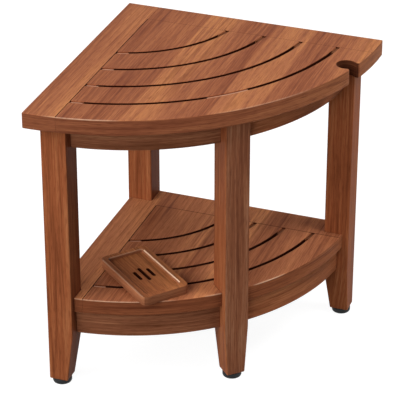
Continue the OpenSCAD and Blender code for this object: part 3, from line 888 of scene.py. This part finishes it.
dish = make_object("soap_dish_wood", rounded_slab(dish_l, dish_w, dish_corner_r, 0, dish_h))
hollow = rounded_slab(hollow_l, hollow_w, hollow_corner_r, dish_floor, dish_h + overshoot)
carve(dish, make_object("hollow_cutter", hollow))
drains = []
for offset, length in drain_slots:
    # A speck short of half round, so that no edge of the slot's end shrinks to nothing
    drain = rounded_slab(length, drain_w, drain_w / 2 - speck, -overshoot, dish_h)
    bmesh.ops.translate(drain, vec=(0, offset, 0), verts=drain.verts[:])
    drains.append(drain)
carve(dish, make_object("drain_cutter", *drains))
finish_timber(dish, dish_easing, dish_grain, at_dish, dish_materials, body="dish",
              part=dish_part, wear=dish_wear)


# ---- Feet ----
# Black rubber pads on threaded steel studs, one to a leg, that screw up and down in brass inserts.
# Each pad is moulded in one piece, with a rounded lower rim and a softened upper one.

# Moulded rubber is matt and nearly black, with a faint mottle of about a millimetre
rubber = new_material("black_rubber")
tree = rubber.node_tree
place = add(tree, "TexCoord", {}).outputs["Object"]
mottle = add(tree, "TexNoise", {"Vector": place, "Scale": 900, "Detail": 3})
colour = add(tree, "ValToRGB", {"Fac": mottle})
set_stops(colour, [(0.3, "#0d0e0f"), (0.7, "#1b1d1e")])
relief = add(tree, "Bump", {"Height": mottle, "Strength": 0.3, "Distance": 0.0002})
shader = add(tree, "BsdfPrincipled", {"Base Color": colour, "Roughness": 0.55, "Normal": relief,
                                      "Specular IOR Level": 0.25})
add(tree, "OutputMaterial", {"Surface": shader})

foot_sides = ("back", "left", "right", "front")
for side in foot_sides:
    low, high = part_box(f"{side}_foot_pad")
    middle = (low + high) / 2
    foot_r = (high.x - low.x) / 2
    # Half of the pad's outline, from the middle of its sole to the middle of its top
    outline = [(0, 0), (foot_r - 0.0025, 0), (foot_r - 0.0007, 0.0008), (foot_r, 0.0025),
               (foot_r, high.z - 0.002), (foot_r - 0.0006, high.z - 0.0006), (foot_r - 0.002, high.z),
               (0, high.z)]
    bm = bmesh.new()
    points = [bm.verts.new((r, 0, z)) for r, z in outline]
    edges = [bm.edges.new(pair) for pair in zip(points, points[1:])]
    bmesh.ops.spin(bm, geom=points + edges, axis=(0, 0, 1), cent=(0, 0, 0), steps=64, angle=math.tau,
                   use_merge=True)
    bmesh.ops.remove_doubles(bm, verts=bm.verts[:], dist=speck)
    bmesh.ops.recalc_face_normals(bm, faces=bm.faces[:])
    bmesh.ops.translate(bm, vec=(middle.x, middle.y, 0), verts=bm.verts[:])
    pad = make_object(f"{side}_foot_pad_rubber", bm)
    pad.data.materials.append(rubber)
    pad.data.shade_smooth()
    pad.data.set_sharp_from_angle(angle=math.radians(50))
    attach(pad, f"{side}_foot")
    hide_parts(f"{side}_foot_pad")


# ---- Studs, screws and inserts ----
# Turned stainless steel studs carry the pads and screw into brass inserts in the legs. Stainless
# steel screws hold the aprons and the cleats. They are the nodes of the frame as they stand.

def turned_metal(name, dark, light, rough_low, rough_high):
    """Metal with fine turning marks round it, drawn coarser than the real ones so that they show."""
    turning_mm = 0.4
    material = new_material(name)
    tree = material.node_tree
    place = add(tree, "TexCoord", {}).outputs["Object"]
    lie = add(tree, "Mapping", {"Vector": place, "Scale": (60, 60, 1000 / turning_mm)})
    marks = add(tree, "TexNoise", {"Vector": lie, "Scale": 1, "Detail": 2})
    # Stains of about 3 mm dull it in places
    stain = add(tree, "TexNoise", {"Vector": place, "Scale": 350, "Detail": 2})
    tone = add(tree, "Math", {0: marks, 1: stain}, operation="MULTIPLY")
    colour = add(tree, "ValToRGB", {"Fac": tone})
    set_stops(colour, [(0.15, dark), (0.35, light)])
    rough = add(tree, "MapRange", {"Value": stain, "From Min": 0.3, "From Max": 0.7,
                                   "To Min": rough_low, "To Max": rough_high})
    relief = add(tree, "Bump", {"Height": marks, "Strength": 0.2, "Distance": 0.0001})
    shader = add(tree, "BsdfPrincipled", {"Base Color": colour, "Metallic": 1, "Roughness": rough,
                                          "Normal": relief})
    add(tree, "OutputMaterial", {"Surface": shader})
    return material


def give_finish(node, material):
    """Puts a material on a node of the frame."""
    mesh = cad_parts[node].data
    if not mesh.materials:
        mesh.materials.append(material)
    for i in range(len(mesh.materials)):
        mesh.materials[i] = material


stainless_steel = turned_metal("turned_stainless_steel", "#8f9193", "#c3c5c6",
                               rough_low=0.28, rough_high=0.45)
brass = turned_metal("turned_brass", "#8a6a2c", "#c9a458", rough_low=0.3, rough_high=0.5)
for side in foot_sides:
    give_finish(f"{side}_foot_stud", stainless_steel)
for node in ("upper_apron_screws", "lower_apron_screws", "seat_cleat_screws", "shelf_cleat_screws"):
    give_finish(node, stainless_steel)
give_finish("foot_inserts", brass)


# ---- Cleats and dowels ----
# Plain unoiled teak strips screwed under the border boards and slats, beside the rails, and the
# dowels that are glued into the legs. They are the nodes of the frame as they stand.

for level in ("seat", "shelf"):
    for side, along in (("left", "Y"), ("right", "X")):
        strip = teak(f"unoiled_teak_{level}_{side}_cleat", "#7a4c30", "#a8764f", "#c79a72", along=along)
        give_finish(f"{level}_{side}_cleat", strip)
dowel_teak = teak("unoiled_teak_dowel", "#8a5a3a", "#b98a60", "#d4aa80", along="X")
give_finish("upper_dowels", dowel_teak)
give_finish("lower_dowels", dowel_teak)


# ---- Camera, lights and floor ----
# A plain pale floor and soft lamps, with the camera where the photograph was taken from: in front,
# a little to the right, and above the seat. The background is white, with a soft shadow on the floor.

# The camera's place, turn and lens were fitted to the bench's outline in the photograph
camera = bpy.data.objects.new("camera", bpy.data.cameras.new("camera"))
camera.location = (0.917633, -2.555393, 1.748156)
camera.rotation_euler = (math.radians(90 - 28.826), 0, math.radians(20.003))
camera.data.lens = 190.67
camera.data.sensor_width = 36
bpy.context.scene.collection.objects.link(camera)
bpy.context.scene.camera = camera


def seen_plainly(tree):
    """1 for a ray that shows the backdrop, straight, in gloss or through glass, and 0 for its light."""
    path = add(tree, "LightPath", {})
    glossy, through = path.outputs["Is Glossy Ray"], path.outputs["Is Transmission Ray"]
    indirect = add(tree, "Math", {0: glossy, 1: through}, operation="MAXIMUM")
    return add(tree, "Math", {0: path.outputs["Is Camera Ray"], 1: indirect}, operation="MAXIMUM")


# The floor looks white and keeps the bench's shadow, but throws little light up at the bench
floor_half = 4
floor_t = 0.01
floor = straight_block((-floor_half, -floor_half, -floor_t), (floor_half, floor_half, 0))
floor = make_object("floor", floor)
floor_material = new_material("matt_white_floor")
tree = floor_material.node_tree
seen = seen_plainly(tree)
colour = add(tree, "MixRGB", {"Fac": seen, "Color1": linear("#3d3c3b"), "Color2": linear("#868686")})
matt = add(tree, "BsdfDiffuse", {"Color": colour})
lift = add(tree, "Math", {0: seen, 1: 0.92}, operation="MULTIPLY")
glow = add(tree, "Emission", {"Color": (1, 1, 1, 1), "Strength": lift})
shader = add(tree, "AddShader", {0: matt, 1: glow})
add(tree, "OutputMaterial", {"Surface": shader})
floor.data.materials.append(floor_material)

# The room is white to the camera, and lights the bench softly from above
world = bpy.data.worlds.new("studio")
bpy.context.scene.world = world
world.use_nodes = True
tree = world.node_tree
tree.nodes.clear()
seen = seen_plainly(tree)
direction = add(tree, "TexCoord", {}).outputs["Generated"]
height = add(tree, "SeparateXYZ", {"Vector": direction}).outputs["Z"]
ambient = add(tree, "MapRange", {"Value": height, "From Min": 0, "From Max": 1, "To Min": 0.01,
                                 "To Max": 0.08})
strength = add(tree, "Math", {0: seen, 1: ambient}, operation="MAXIMUM")
background = add(tree, "Background", {"Color": (1, 1, 1, 1), "Strength": strength})
add(tree, "OutputWorld", {"Surface": background})


def area_lamp(name, azimuth, elevation, distance, size, power, mirrored_in_gloss=True):
    """A soft square lamp that looks at the bench's middle, in degrees, metres and watts."""
    lamp = bpy.data.lights.new(name, "AREA")
    lamp.size = size
    lamp.energy = power
    lamp_object = bpy.data.objects.new(name, lamp)
    a, e = math.radians(azimuth), math.radians(elevation)
    way = Vector((math.sin(a) * math.cos(e), -math.cos(a) * math.cos(e), math.sin(e)))
    bench_middle = Vector((0, 0, 0.2))
    lamp_object.location = way * distance + bench_middle
    lamp_object.rotation_euler = way.to_track_quat("Z", "Y").to_euler()
    lamp_object.visible_glossy = mirrored_in_gloss
    bpy.context.scene.collection.objects.link(lamp_object)


area_lamp("key", azimuth=-41, elevation=40, distance=3.2, size=2.2, power=66)
area_lamp("side", azimuth=98, elevation=58, distance=2.6, size=1.2, power=33)
# The low lamp reaches the aprons under the seat's overhang
area_lamp("low side", azimuth=95, elevation=10, distance=3, size=1.6, power=15)
area_lamp("front", azimuth=0, elevation=20, distance=3, size=1.6, power=36)
# Mirrored in the seat, the back lamp would make it milky
area_lamp("back", azimuth=222, elevation=18, distance=3, size=1.6, power=22, mirrored_in_gloss=False)
bpy.context.scene.view_settings.view_transform = "Standard"
